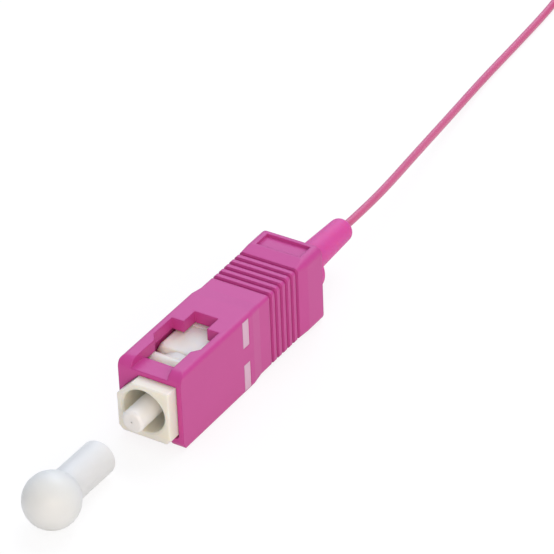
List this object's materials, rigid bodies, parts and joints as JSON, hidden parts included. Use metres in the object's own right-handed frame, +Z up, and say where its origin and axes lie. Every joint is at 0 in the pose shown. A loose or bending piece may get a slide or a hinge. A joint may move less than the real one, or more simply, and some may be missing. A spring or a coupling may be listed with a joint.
{
  "type": "sc fibre connector",
  "caption": "Push-pull SC fibre-optic connector with a heather violet grip, ivory plug frame, white ceramic ferrule, short boot and thin pigtail, and its round-headed dust cap in front.",
  "frame": {"origin": "centre of the ferrule's tip, on the ferrule's axis", "axes": "+Z up, away from the latch-window face that the connector lies on; +Y along the connector, from the ferrule to the boot; +X towards the side with the white marks, away from the key"},
  "size_m": [0.0155, 0.1372, 0.009],
  "materials": {
    "grip_housing": "satin",
    "mark_upper": "satin",
    "mark_lower": "satin",
    "plug_frame": "satin",
    "ferrule": "polished",
    "ferrule_flange": "satin",
    "guide_tube": "satin",
    "optical_fibre": "polished",
    "spring": "satin",
    "stop_ring": "satin",
    "boot": "satin",
    "dust_cap": "satin",
    "buffer": "satin",
    "pigtail": "satin",
    "pigtail_coil": "satin",
    "coil_tie_near": "satin",
    "coil_tie_far": "satin"
  },
  "bodies": {
    "plug": {"plug_frame": "plug_frame", "stop_ring": "stop_ring", "spring": "spring", "boot": "boot", "dust_cap": "dust_cap", "buffer": "buffer", "pigtail": "pigtail", "pigtail_coil": "pigtail_coil", "coil_tie_near": "coil_tie_near", "coil_tie_far": "coil_tie_far"},
    "grip": {"grip_housing": "grip_housing", "mark_upper": "mark_upper", "mark_lower": "mark_lower"},
    "ferrule_group": {"ferrule": "ferrule", "ferrule_flange": "ferrule_flange", "guide_tube": "guide_tube", "optical_fibre": "optical_fibre"}
  },
  "joints": [
    {"name": "grip_slide", "type": "slide", "parent": "plug", "child": "grip", "axis": [0, 1, 0], "range_m": [0, 0.0015]},
    {"name": "ferrule_float", "type": "slide", "parent": "plug", "child": "ferrule_group", "axis": [0, 1, 0], "range_m": [0, 0.0012], "stiffness_N_per_m": 1500, "springref_m": -0.004, "deforming": ["spring"]}
  ]
}
